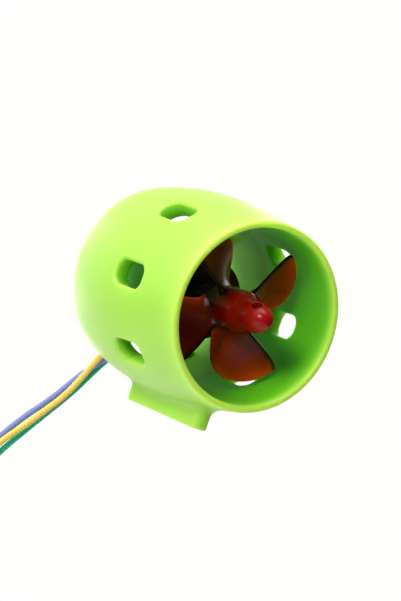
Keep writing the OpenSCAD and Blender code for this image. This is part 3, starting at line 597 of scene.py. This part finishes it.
def vane(angle):
    """Flat vane from the cup out to the ring: at each radius its section is a superellipse of power
    five, and its thickness swells towards both roots."""
    radius = np.linspace(CUP_IN_R + 0.6 * MM, BORE_R + 0.5 * MM, 40)[:, None]
    share = np.clip((radius - CUP_R) / (BORE_R - CUP_R), 0, 1)
    rear = CUP_X[0] + 0.05 * MM + (RING_X[0] + 0.5 * MM - CUP_X[0]) * share
    front = CUP_X[0] + VANE_LEN + (RING_X[0] - CUP_X[0]) * share
    swell = np.exp((CUP_R - radius) / VANE_ROOT) + np.exp((radius - BORE_R) / VANE_ROOT)
    half = VANE_T / 2 + VANE_SWELL * np.minimum(swell, 1.4)
    turn = np.linspace(0, 2 * np.pi, 48, endpoint=False)
    lengthways, across = [np.sign(v) * np.abs(v) ** 0.4 for v in (np.cos(turn), np.sin(turn))]
    flat = np.stack([(front + rear) / 2 + (front - rear) / 2 * lengthways, half * across], axis=-1)
    return turned_to(on_radius(flat, radius), angle)


ring_outline = ring_loop((RING_X[0], RING_X[1] - GLUE_GAP), BORE_R, SEAT_R - GLUE_GAP, RING_EDGE)
cup_outline = softened_loop([(CUP_X[0], PLATE_HOLE_R), (CUP_X[0], CUP_R), (CUP_X[2], CUP_R),
                             (CUP_X[2], CUP_IN_R), (CUP_X[1], CUP_IN_R), (CUP_X[1], PLATE_HOLE_R)], CUP_EDGE)
bracket_patches = [grid(turned(outline, 144) + (0, 0, SHAFT_Z), closed=True)
                   for outline in (ring_outline, cup_outline)]
bracket_patches += [grid(vane(math.radians(angle)), closed=True) for angle in VANE_ANGLES]
# The bracket takes part of the bore's painted shade, on the shaded copy of the plastic
bracket = weld("bracket_moulding", bracket_patches, lime_shaded,
               inside=np.full(sum(len(points) for points, quads in bracket_patches), RING_SHADE))
seat(bracket, "housing", "nozzle_green", "motor_bracket")

# Motor sleeve
# A thin tube of the same plastic, pushed over the bracket's cup and glued there. It stands close
# round the spinning can and keeps weed off it.
SLEEVE_TUBE_X = (EXIT_X - 61.6 * MM, SEAT_X)
SLEEVE_TUBE_R = (CUP_R + GLUE_GAP, 15.5 * MM)
SLEEVE_TUBE_EDGE = 0.3 * MM
tube_points = turned(ring_loop(SLEEVE_TUBE_X, *SLEEVE_TUBE_R, SLEEVE_TUBE_EDGE), 144) + (0, 0, SHAFT_Z)
# The tube takes the bore's painted shade in full, on the shaded copy of the plastic
sleeve_tube = weld("motor_sleeve_tube", [grid(tube_points, closed=True)], lime_shaded,
                   inside=np.ones(tube_points.shape[0] * tube_points.shape[1]))
seat(sleeve_tube, "housing", "nozzle_green", "motor_sleeve")

# Motor
# A small brushless outrunner: the black anodised bell and flux ring spin round a wound stator on
# a turned base, which four steel cap screws hold from behind through the bracket's plate.
CAN_R = 14 * MM
CAN_X = (EXIT_X - 59 * MM, EXIT_X - 35.5 * MM)
CAN_IN_R = 12.9 * MM
CAN_EDGE = 0.25 * MM


def dress(material, *nodes):
    """Gives carried-over nodes a material in place of their plain colour."""
    for name in nodes:
        frame["nodes"][name].data.materials.clear()
        frame["nodes"][name].data.materials.append(material)


black_anodised = finish("black_anodised", (0.03, 0.032, 0.036), 0.32, patch=6, rough_shift=0.15, grain=0.2,
                        bump=0.004, Metallic=0.6)
black_steel = finish("black_steel", (0.05, 0.05, 0.055), 0.35, patch=3, rough_shift=0.15, grain=0.2,
                     Metallic=0.8)
bright_steel = finish("bright_steel", (0.6, 0.6, 0.61), 0.25, patch=3, rough_shift=0.12, grain=0.2, bump=0.004,
                      Metallic=1.0)
bearing_steel = finish("bearing_steel", (0.55, 0.55, 0.57), 0.16, patch=3, grain=0.2, bump=0.002, Metallic=1.0)
lacquered_steel = finish("lacquered_laminations", (0.09, 0.1, 0.13), 0.38, patch=4, grain=0.35, bump=0.03,
                         Metallic=0.3)
copper = finish("enamelled_copper", (0.55, 0.2, 0.06), 0.3, patch=2, shift=0.25, grain=0.45, bump=0.08,
                Metallic=0.85)
magnet_plate = finish("nickel_plate", (0.5, 0.5, 0.49), 0.28, patch=4, grain=0.2, bump=0.004, Metallic=1.0)
white_plastic = finish("washer_plastic", (0.78, 0.75, 0.66), 0.5, patch=2, grain=0.2, Subsurface_Weight=0.1,
                       Subsurface_Scale=0.4 * MM)
dress(black_anodised, "rotor_bell", "motor_base")
dress(black_steel, "bell_screw_1", "bell_screw_2", "shaft_clip", "prop_screw")
dress(bright_steel, "shaft", "motor_screw_1", "motor_screw_2", "motor_screw_3", "motor_screw_4")
dress(bearing_steel, "bearing_front_outer", "bearing_rear_outer", "bearing_front_inner", "bearing_rear_inner",
      "bearing_front_balls", "bearing_rear_balls")
dress(lacquered_steel, "stator_core")
dress(copper, "stator_coils")
dress(magnet_plate, "magnets")
dress(white_plastic, "thrust_washer")
can_outline = ring_loop(CAN_X, CAN_IN_R, CAN_R, CAN_EDGE)
can = weld("motor_can", [grid(turned(can_outline, 128) + (0, 0, SHAFT_Z), closed=True)], black_anodised)
seat(can, "rotor", "black_steel", "flux_ring")

# Lead grommet
# A soft black rubber block, pushed into its slot in the bracket's plate behind the motor. The
# three leads come out of it side by side.
GROMMET_X = (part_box("lead_grommet")[0].x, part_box("lead_grommet")[1].x)
GROMMET_Z = LEAD_ROUTES_MM["blue"][0][2] * MM
GROMMET_HALF = (4.4 * MM, 1.7 * MM)
GROMMET_ROUND = 0.6 * MM


def rounded_plug(low, high, half_wide, half_high, edge):
    """Block with round ends: superellipse sections of power three along X, which shrink in a
    quarter round towards the rear face and close there on a line."""
    roll = np.linspace(0, np.pi / 2, 7)
    x = np.concatenate([[high], low + edge * (1 - np.cos(roll)), [low]])[:, None]
    inset = np.concatenate([[0], edge * (1 - np.sin(roll)), [half_high]])[:, None]
    order = np.r_[0, len(roll):0:-1, len(roll) + 1]
    turn = np.linspace(0, 2 * np.pi, 56, endpoint=False)
    wide, tall = [np.sign(v) * np.abs(v) ** (2 / 3) for v in (np.cos(turn), np.sin(turn))]
    return np.stack(np.broadcast_arrays(x[order], (half_wide - inset[order]) * wide,
                                        (half_high - inset[order]) * tall), axis=-1)


grommet_rubber = finish("grommet_rubber", (0.022, 0.022, 0.022), 0.62, patch=2, grain=0.2, bump=0.03)
grommet = weld("grommet_block", [grid(rounded_plug(*GROMMET_X, *GROMMET_HALF, GROMMET_ROUND)
                                      + (0, 0, GROMMET_Z), closed=True)], grommet_rubber)
seat(grommet, "housing", "black_rubber", "lead_grommet")

# Propeller
# Four broad blades and a hub with a rounded nose, moulded in one piece of glossy red-brown plastic
# and held on the motor shaft by one set screw in a counterbored hole near the nose.
PROP_R = 28.1 * MM
PROP_X = EXIT_X - 20.5 * MM
PROP_PITCH = 63.5 * MM
PROP_TURN = math.radians(24)
BLADE_RAKE = -0.01
BLADE_T = (2.4 * MM, 1.4 * MM, 0.9 * MM)
BLADE_SPAN = 0.79
BLADE_ROWS, BLADE_LOOP = 72, 112
# Both edges of a blade: share of the tip radius, then degrees round the shaft
BLADE_LEAD = [
    (0.15, -26.7), (0.24, -24.3), (0.33, -21.2), (0.44, -19.4), (0.55, -17.9), (0.66, -15.6), (0.74, -12.6),
    (0.82, -8), (0.88, -3.2), (0.93, 3), (0.966, 10), (0.988, 16.8), (1, 23.5)]
BLADE_TRAIL = [
    (0.15, 28.2), (0.24, 30.1), (0.33, 32.1), (0.44, 34), (0.55, 35.3), (0.66, 35.8), (0.74, 36),
    (0.82, 35.9), (0.88, 35.7), (0.93, 35.2), (0.966, 34.5), (0.988, 33.3), (1, 30.8)]
ROOT_FLARE = 1.3 * MM
FLARE_FADE = 1.1 * MM
HUB_R = 7.2 * MM
HUB_REAR_X = EXIT_X - 26 * MM
SHOULDER_X = EXIT_X - 9.3 * MM
NOSE_BACK_X = EXIT_X - 2.5 * MM
NOSE_X = EXIT_X + 6.5 * MM
NOSE_R = 5.4 * MM
HUB_EDGE = 0.5 * MM
HUB_PANEL_X = (EXIT_X + 3.4 * MM, EXIT_X - 1.8 * MM)
HUB_PANEL_HALF = np.pi / 3
HUB_ROWS = 10
SHAFT_R = 2 * MM
SET_HOLE_X = EXIT_X + 0.9 * MM
SET_HOLE_R = 1.8 * MM
SET_HOLE_TURN = math.radians(36)
SET_HOLE_MOUTH = 0.25 * MM
SET_HOLE_FLOOR_R = 3 * MM
SET_HOLE_FLOOR_EDGE = 0.01 * MM
BLADE_COLOUR = (0.22, 0.004, 0.001)
# Painted glow: the blades' thin leading edges and tips are lighter and more orange, as light passes through
# them
GLOW_COLOUR = (0.95, 0.09, 0.008)
# Painted glow: the nose turns a brighter red towards its tip, as light passes through it
NOSE_GLOW_COLOUR = (0.34, 0.005, 0.006)
HUB_COLOUR = (0.18, 0.003, 0.001)
# Painted shade: near black on the blades' edge faces and on the hub's rear end
EDGE_SHADE_COLOUR = (0.008, 0.003, 0.002)
# Painted shade: where the darkening of the hub's rear end begins, and where it is full
SHADED_END_X = (EXIT_X - 15 * MM, EXIT_X - 20 * MM)
# Widths of the painted shade at the trailing and at the leading edge
DARK_TRAIL = 1.3 * MM
DARK_LEAD = 0.3 * MM
# How far the painted glow reaches in from the leading edge and the tip
GLOW_DEPTH = 4 * MM
ROOT_FADE = 2.5 * MM


def hub_radius(x):
    """Cylinder up to the shoulder, a smooth step down to the nose, then half an ellipse."""
    step = np.clip((x - SHOULDER_X) / (NOSE_BACK_X - SHOULDER_X), 0, 1)
    body = HUB_R - (HUB_R - NOSE_R) * step * step * (3 - 2 * step)
    nose = np.clip((x - NOSE_BACK_X) / (NOSE_X - NOSE_BACK_X), 0, 1)
    return body * np.sqrt(1 - nose ** 2)


def blade(turn_by):
    """One blade as rows of closed chord loops from inside the hub out to the tip, with its marks.

    Each point lies on a screw surface of constant pitch, leaning forward by the rake, and is set off
    square to it by half the thickness: a parabola across the chord, rounded off at the edges and the
    tip, and flared out at the root. The marks are shares from 0 to 1, in this order: painted shade on
    the edge faces, which falls off as a bell from both edges; a painted glow of light through the thin
    plastic, which falls off more slowly from the leading edge and the tip; the hub's red, which fades
    out along the root; and the painted glow of the nose, which is 0 here.
    """
    share = 1 - BLADE_SPAN * np.linspace(1, 0, BLADE_ROWS) ** 1.6
    radius = share * PROP_R
    lead, trail = [curve_through(*np.array(table, float).T, share) for table in (BLADE_LEAD, BLADE_TRAIL)]
    flare = ROOT_FLARE * np.exp((HUB_R - radius) / FLARE_FADE).clip(0, 1.2)
    lead, trail = np.radians(lead) - 0.5 * flare / radius, np.radians(trail) + 0.5 * flare / radius
    loop = np.linspace(0, 2 * np.pi, BLADE_LOOP, endpoint=False)
    across = (1 - np.cos(loop)) / 2
    angle = lead[:, None] + (trail - lead)[:, None] * across
    slope = np.arctan2(PROP_PITCH, 2 * np.pi * radius)[:, None]
    chord = ((trail - lead) * radius)[:, None] / np.cos(slope)
    edge_gap = np.minimum(chord * np.minimum(across, 1 - across), 1.2 * (PROP_R - radius)[:, None])
    thick = BLADE_T[0] + (BLADE_T[1] - BLADE_T[0]) * share[:, None]
    thick = BLADE_T[2] + (thick - BLADE_T[2]) * 4 * across * (1 - across) + 2 * flare[:, None]
    nose = 1 - np.clip(edge_gap / (0.6 * BLADE_T[2]), 0, 1)
    off = np.sign(np.sin(loop)) * thick / 2 * np.sqrt(1 - nose ** 2)
    turn = angle - off * np.sin(slope) / radius[:, None] + turn_by
    x = PROP_X + PROP_PITCH * angle / (2 * np.pi) + BLADE_RAKE * (radius[:, None] - HUB_R)
    x = x + off * np.cos(slope)
    points = np.stack([x, radius[:, None] * np.cos(turn), radius[:, None] * np.sin(turn) + SHAFT_Z], axis=-1)
    lead_gap, trail_gap, tip_gap = chord * across, chord * (1 - across), (PROP_R - radius)[:, None]
    # Painted shade along both edges, and a painted glow from the leading edge and the tip
    edge_dark = np.exp(-(trail_gap / DARK_TRAIL) ** 2) + 0.5 * np.exp(-(lead_gap / DARK_LEAD) ** 2)
    edge_glow = np.exp(-np.minimum(lead_gap, tip_gap) / GLOW_DEPTH)
    hub_red = np.clip(1 - (radius - HUB_R) / ROOT_FADE, 0, 1)[:, None]
    return points, np.stack(np.broadcast_arrays(edge_dark, edge_glow, hub_red, 0 * hub_red)).reshape(4, -1)


# The hub round the set-screw hole is a pierced panel of a third of a turn; the rest is turned. The
# panel's inner face is left off, and the hole's wall closes on the middle of its floor instead
hole_outline, hole_normals = rounded_box(SET_HOLE_X, (2 * SET_HOLE_R, 2 * SET_HOLE_R), SET_HOLE_R)
hub_front, hub_rear = HUB_PANEL_X
hub_border = panel_border(hub_front, hub_rear, HUB_PANEL_HALF)
hub_panel = pierced_panel(hole_outline, hole_normals, (hub_border, hub_border), hub_radius,
                          lambda x: np.full_like(x, SET_HOLE_FLOOR_R), SET_HOLE_MOUTH, SET_HOLE_FLOOR_EDGE,
                          rows=HUB_ROWS)
hub_panel = hub_panel[:HUB_ROWS + 2 * ROLL_STEPS - 1]
hole_middle = np.broadcast_to(hub_panel[-1].mean(axis=0), hub_panel[:1].shape)
hub_panel = np.concatenate([hub_panel, hole_middle])
rest_x = np.linspace(hub_front, hub_rear, LONG_COUNT + 1)[:, None]
rest_turn = np.linspace(HUB_PANEL_HALF, 2 * np.pi - HUB_PANEL_HALF, 2 * WIDE_COUNT + 1) - SET_HOLE_TURN
rest_r = hub_radius(rest_x)
hub_rest = np.stack(np.broadcast_arrays(rest_x, rest_r * np.sin(rest_turn), rest_r * np.cos(rest_turn)),
                    axis=-1)
rear_x = np.linspace(HUB_REAR_X + HUB_EDGE, hub_rear, 40)
rear_profile = np.concatenate([
    softened([(HUB_REAR_X, SHAFT_R), (HUB_REAR_X, HUB_R), (rear_x[0], HUB_R)], HUB_EDGE),
    np.stack([rear_x, hub_radius(rear_x)], axis=-1)[1:]])
nose_x = hub_front + (NOSE_X - hub_front) * np.sin(np.linspace(0, np.pi / 2, 16))
nose_profile = np.stack([nose_x, hub_radius(nose_x)], axis=-1)
lift = np.array((0, 0, SHAFT_Z))
hub_grids = [turned_to(hub_panel, SET_HOLE_TURN)]
hub_grids += [turned(profile, 3 * WIDE_COUNT, HUB_PANEL_HALF - SET_HOLE_TURN) + lift
              for profile in (rear_profile, nose_profile)]
blades = [blade(PROP_TURN + quarter * np.pi / 2) for quarter in range(4)]
prop_patches = [grid(points, closed=True) for points in hub_grids] + [grid(hub_rest + lift)]
# The hub's rear end fades to painted shade, and its nose to a painted glow
prop_marks = []
for points, quads in prop_patches:
    shaded_end = np.clip((SHADED_END_X[0] - points[:, 0]) / (SHADED_END_X[0] - SHADED_END_X[1]), 0, 1)
    nose_red = np.clip((points[:, 0] - NOSE_BACK_X) / (NOSE_X - NOSE_BACK_X), 0, 1)
    prop_marks.append(np.stack([shaded_end, 0 * shaded_end, 1 + 0 * shaded_end, nose_red]))
prop_patches += [grid(points, closed=True) for points, marks in blades]
prop_marks += [marks for points, marks in blades]
edge_dark, edge_glow, hub_red, nose_red = np.concatenate(prop_marks, axis=1)
prop_plastic = finish("propeller_plastic", BLADE_COLOUR, 0.26, patch=8, shift=0.12, rough_shift=0.1, grain=0.5,
                      bump=0.004, Subsurface_Weight=0.12, Subsurface_Radius=(1.0, 0.15, 0.05),
                      Subsurface_Scale=1.5 * MM, Specular_IOR_Level=0.15, Coat_Weight=0.09, Coat_Roughness=0.06)
tint_by_marks(prop_plastic, edge_glow=GLOW_COLOUR, hub_red=HUB_COLOUR, nose_red=NOSE_GLOW_COLOUR,
              edge_dark=EDGE_SHADE_COLOUR)
propeller = weld("propeller_moulding", prop_patches, prop_plastic,
                 edge_dark=edge_dark, edge_glow=edge_glow, hub_red=hub_red, nose_red=nose_red)
seat(propeller, "rotor", "propeller_amber", "propeller")

# Stage
# A plain pale floor lies below the hanging plugs. Six soft panels and a white tent light the
# thruster from all sides, with least light from in front of the exit.
FLOOR_Z = -135 * MM
FLOOR_R = 300 * MM
# Name, place and size in metres, and power in watts
PANELS = (
    ("top_panel", (-0.1, -0.3, 0.85), 0.7, 7.0), ("left_panel", (-0.35, -0.85, 0.4), 0.7, 2.6),
    ("front_panel", (0.5, -0.95, 0.45), 0.3, 8.0), ("high_panel", (0.3, -0.2, 1.0), 0.4, 1.5),
    ("back_panel", (-0.9, 0.15, 0.0), 0.5, 6.0), ("far_panel", (-0.5, 0.7, 0.5), 0.7, 5.0))
# Three fades of the tent's light: direction, start and end along it, and strength at both
TENT_DIM = (
    ((0.98, -0.2, 0.0), 0.1, 0.8, 1.0, 0.08),
    ((0.6, 0.8, 0.0), 0.2, 0.8, 1.0, 0.15),
    ((0, 0, 1), -1.0, 1.0, 0.5, 1.0))
TENT_COLOUR = (0.6, 0.6, 0.6, 1)
BACKDROP_COLOUR = (1, 1, 0.99, 1)


def disc(radius, height):
    """Flat round floor: rings of points round the middle at one height."""
    rings = np.stack([np.full(24, height), np.linspace(0, radius, 24)], axis=-1)
    return hung(turned(rings, 96), (0, 0, 0))


floor_paint = finish("pale_floor", (0.68, 0.68, 0.67), 0.6, patch=60, shift=0.02, grain=2, bump=0.01)
floor = weld("floor", [grid(disc(FLOOR_R, FLOOR_Z), closed=True)], floor_paint)


def panel_light(name, place, aim, size, power):
    """Square soft panel at a place, turned to face a point."""
    light = bpy.data.objects.new(name, bpy.data.lights.new(name, "AREA"))
    bpy.context.scene.collection.objects.link(light)
    light.data.size = size
    light.data.energy = power
    light.location = place
    light.rotation_euler = (Vector(aim) - Vector(place)).to_track_quat("-Z", "Y").to_euler()


for name, place, size, power in PANELS:
    panel_light(name, place, (0, 0, SHAFT_Z), size, power)
# The tent is the world's light, and the camera sees a plain bright backdrop in its place
world = bpy.data.worlds.new("studio")
bpy.context.scene.world = world
world.use_nodes = True
world_node, world_link = world.node_tree.nodes.new, world.node_tree.links.new
direction = world_node("ShaderNodeTexCoord")
shares = []
for axis, low, high, at_low, at_high in TENT_DIM:
    along, share = world_node("ShaderNodeVectorMath"), world_node("ShaderNodeMapRange")
    along.operation = "DOT_PRODUCT"
    along.inputs[1].default_value = axis
    for socket, value in (("From Min", low), ("From Max", high), ("To Min", at_low), ("To Max", at_high)):
        share.inputs[socket].default_value = value
    world_link(direction.outputs["Generated"], along.inputs[0])
    world_link(along.outputs["Value"], share.inputs["Value"])
    shares.append(share.outputs["Result"])
strength = shares[0]
for share in shares[1:]:
    product = world_node("ShaderNodeMath")
    product.operation = "MULTIPLY"
    world_link(strength, product.inputs[0])
    world_link(share, product.inputs[1])
    strength = product.outputs[0]
sky = world.node_tree.nodes["Background"]
sky.inputs["Color"].default_value = TENT_COLOUR
world_link(strength, sky.inputs["Strength"])
seen = world_node("ShaderNodeBackground")
seen.inputs["Color"].default_value = BACKDROP_COLOUR
ray, either = world_node("ShaderNodeLightPath"), world_node("ShaderNodeMixShader")
world_link(ray.outputs["Is Camera Ray"], either.inputs["Fac"])
world_link(sky.outputs[0], either.inputs[1])
world_link(seen.outputs[0], either.inputs[2])
world_link(either.outputs[0], world.node_tree.nodes["World Output"].inputs["Surface"])
bpy.context.scene.view_settings.view_transform = "Standard"
